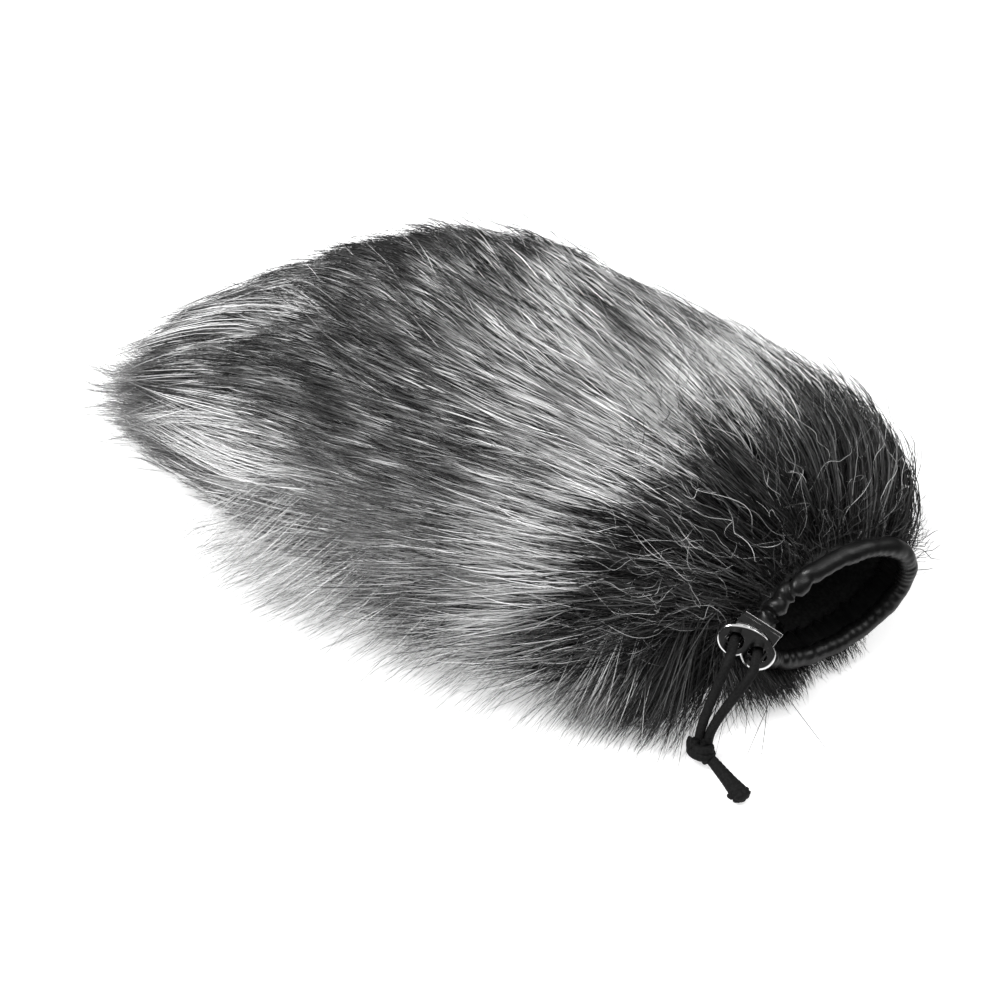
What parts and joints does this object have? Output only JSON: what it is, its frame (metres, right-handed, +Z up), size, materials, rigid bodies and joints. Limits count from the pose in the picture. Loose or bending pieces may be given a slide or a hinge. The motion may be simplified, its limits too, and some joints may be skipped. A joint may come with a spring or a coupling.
{
  "type": "furry windscreen",
  "caption": "Long-pile fur wind cover for a microphone or recorder: a limp bag with a gathered leatherette mouth, elastic drawcord and sprung metal cord lock.",
  "frame": {"origin": "on the resting plane, on the flat underside of the lower pile, under the middle of the bag's straight part", "axes": "+X along the bag towards its mouth, +Y across it to the side away from the cord lock, +Z up"},
  "size_m": [0.2902, 0.1626, 0.0924],
  "materials": {
    "pile": "long faux-fur pile, black at the root, silver in the middle, dark tips",
    "backing": "black knitted backing",
    "hem": "soft black leatherette, satin",
    "cord": "black braided elastic",
    "thread": "black sewing thread",
    "lock": "polished chrome plate",
    "spring": "drawn spring wire"
  },
  "bodies": {
    "windscreen": {"backing_upper": "backing", "backing_lower": "backing", "pile_upper": "pile", "pile_lower": "pile", "seam_thread": "thread", "hem_binding": "hem", "hem_stitch": "thread", "elastic_cord": "cord"},
    "cord_tails": {"cord_tail_left": "cord", "cord_tail_right": "cord", "cord_knot": "cord", "cord_end": "cord", "melted_bead": "cord"},
    "cord_lock": {"lock_body": "lock", "lock_spring": "spring"},
    "press_plate": {"lock_plunger": "lock"}
  },
  "joints": [
    {"name": "cord_swing", "type": "hinge", "parent": "windscreen", "child": "cord_tails", "pos_m": [0.11311, -0.06201, 0.03714], "axis": [-0.9092, -0.012, 0.4161], "range_deg": [0, 90]},
    {"name": "lock_slide", "type": "slide", "parent": "windscreen", "child": "cord_lock", "axis": [0.1616, -0.9313, 0.3263], "range_m": [0, 0.0055]},
    {"name": "plate_press", "type": "slide", "parent": "cord_lock", "child": "press_plate", "axis": [-0.3836, -0.3639, -0.8487], "range_m": [0, 0.0015], "stiffness_N_per_m": 900, "springref_m": -0.001, "deforming": ["lock_spring"]}
  ]
}
